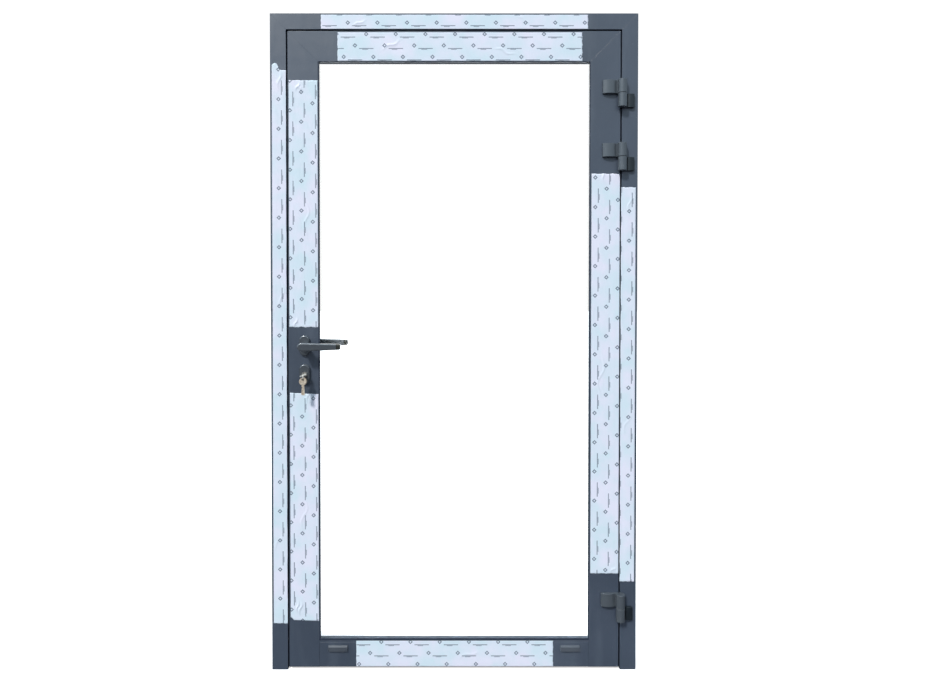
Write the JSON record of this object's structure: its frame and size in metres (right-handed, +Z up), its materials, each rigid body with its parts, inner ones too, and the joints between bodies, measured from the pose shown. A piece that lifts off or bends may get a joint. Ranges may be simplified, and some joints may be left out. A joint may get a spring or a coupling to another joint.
{
  "type": "glazed entrance door",
  "caption": "Outward-opening glazed aluminium door leaf hung on surface barrel hinges in a three-sided frame, with lever handles and a profile cylinder lock.",
  "frame": {"origin": "on the floor, under the middle of the frame's width and depth", "axes": "+X to the hinge side seen from outside, +Y towards the inside of the building, +Z up"},
  "size_m": [1.17, 0.186, 2.1],
  "materials": {
    "profile_paint": "satin anthracite powder coat",
    "hinge_paint": "satin anthracite powder coat",
    "cap_paint": "satin anthracite powder coat",
    "cleat_aluminium": "as cast",
    "spacer_aluminium": "dull",
    "polyamide": "matt black",
    "block_plastic": "matt",
    "bush_plastic": "matt",
    "gasket_rubber": "matt black",
    "edge_sealant": "matt black",
    "glass": "clear float glass",
    "lock_steel": "satin stainless steel",
    "case_steel": "zinc plated",
    "screw_steel": "zinc plated",
    "handle_metal": "satin dark grey metallic",
    "cylinder_nickel": "satin nickel",
    "key_nickel": "polished nickel silver",
    "key_brass": "worn brass",
    "ring_steel": "bright wire",
    "film": "white polyethylene film with a grey print"
  },
  "bodies": {
    "frame": {"frame_jamb_lock": "profile_paint", "frame_jamb_hinge": "profile_paint", "frame_head": "profile_paint", "hinge_top_frame_wing": "hinge_paint", "hinge_middle_frame_wing": "hinge_paint", "hinge_bottom_frame_wing": "hinge_paint", "frame_corner_cleats": "cleat_aluminium", "frame_thermal_strips": "polyamide", "frame_gasket": "gasket_rubber", "strike_plate": "lock_steel", "strike_screws": "screw_steel", "hinge_screws_frame": "screw_steel", "hinge_pins": "screw_steel", "frame_films": "film"},
    "leaf": {"leaf_stile_lock": "profile_paint", "leaf_stile_hinge": "profile_paint", "leaf_rail_top": "profile_paint", "leaf_rail_bottom": "profile_paint", "glazing_bead_lock": "profile_paint", "glazing_bead_hinge": "profile_paint", "glazing_bead_top": "profile_paint", "glazing_bead_bottom": "profile_paint", "hinge_top_leaf_wing": "hinge_paint", "hinge_middle_leaf_wing": "hinge_paint", "hinge_bottom_leaf_wing": "hinge_paint", "drain_caps": "cap_paint", "leaf_corner_cleats": "cleat_aluminium", "glass_spacer": "spacer_aluminium", "leaf_thermal_strips": "polyamide", "glazing_blocks": "block_plastic", "hinge_bushes": "bush_plastic", "leaf_gasket": "gasket_rubber", "glazing_gasket_outer": "gasket_rubber", "glazing_gasket_inner": "gasket_rubber", "drop_seal": "gasket_rubber", "glass_edge_seal": "edge_sealant", "glass_outer": "glass", "glass_inner": "glass", "lock_faceplate": "lock_steel", "lock_case": "case_steel", "lock_screws": "screw_steel", "hinge_screws_leaf": "screw_steel", "handle_rose_outer": "handle_metal", "handle_rose_inner": "handle_metal", "escutcheon_outer": "handle_metal", "escutcheon_inner": "handle_metal", "lock_cylinder": "cylinder_nickel", "leaf_films": "film"},
    "handle": {"handle_outer": "handle_metal", "handle_inner": "handle_metal", "handle_spindle": "screw_steel", "lock_follower": "case_steel"},
    "latch": {"latch_bolt": "lock_steel"},
    "bolt": {"dead_bolt": "lock_steel"},
    "key_set": {"cylinder_plug": "cylinder_nickel", "cylinder_cam": "cylinder_nickel", "key": "key_nickel"},
    "ring": {"key_ring": "ring_steel"},
    "spares": {"spare_keys": "key_brass"},
    "turn": {"thumbturn": "handle_metal"}
  },
  "joints": [
    {"name": "leaf_swing", "type": "hinge", "parent": "frame", "child": "leaf", "pos_m": [0.5315, -0.05, 0], "axis": [0, 0, 1], "range_deg": [0, 170]},
    {"name": "handle_turn", "type": "hinge", "parent": "leaf", "child": "handle", "pos_m": [-0.4765, 0, 1.045], "axis": [0, 1, 0], "range_deg": [0, 35], "stiffness_Nm_per_rad": 1.5, "springref_deg": -28.65},
    {"name": "key_turn", "type": "hinge", "parent": "leaf", "child": "key_set", "pos_m": [-0.4765, 0, 0.953], "axis": [0, -1, 0], "range_deg": [0, 71]},
    {"name": "latch_slide", "type": "slide", "parent": "leaf", "child": "latch", "axis": [-1, 0, 0], "range_m": [0, 0.012]},
    {"name": "thumb_turn", "type": "hinge", "parent": "leaf", "child": "turn", "pos_m": [-0.4765, 0, 0.953], "axis": [0, 1, 0], "range_deg": [0, 360]},
    {"name": "bolt_slide", "type": "slide", "parent": "leaf", "child": "bolt", "axis": [-1, 0, 0], "range_m": [0, 0.02]},
    {"name": "ring_swing", "type": "hinge", "parent": "key_set", "child": "ring", "pos_m": [-0.4751, -0.073, 0.953], "axis": [1, 0, 0], "range_deg": [-12, 12]},
    {"name": "spare_swing", "type": "hinge", "parent": "ring", "child": "spares", "pos_m": [-0.4751, -0.073, 0.9424], "axis": [0, 1, 0], "range_deg": [-35, 35]}
  ],
  "couplings": [
    {"joint": "key_turn", "follows": "latch_slide", "rad_per_m": 103.2},
    {"joint": "thumb_turn", "follows": "bolt_slide", "rad_per_m": 314.1}
  ]
}
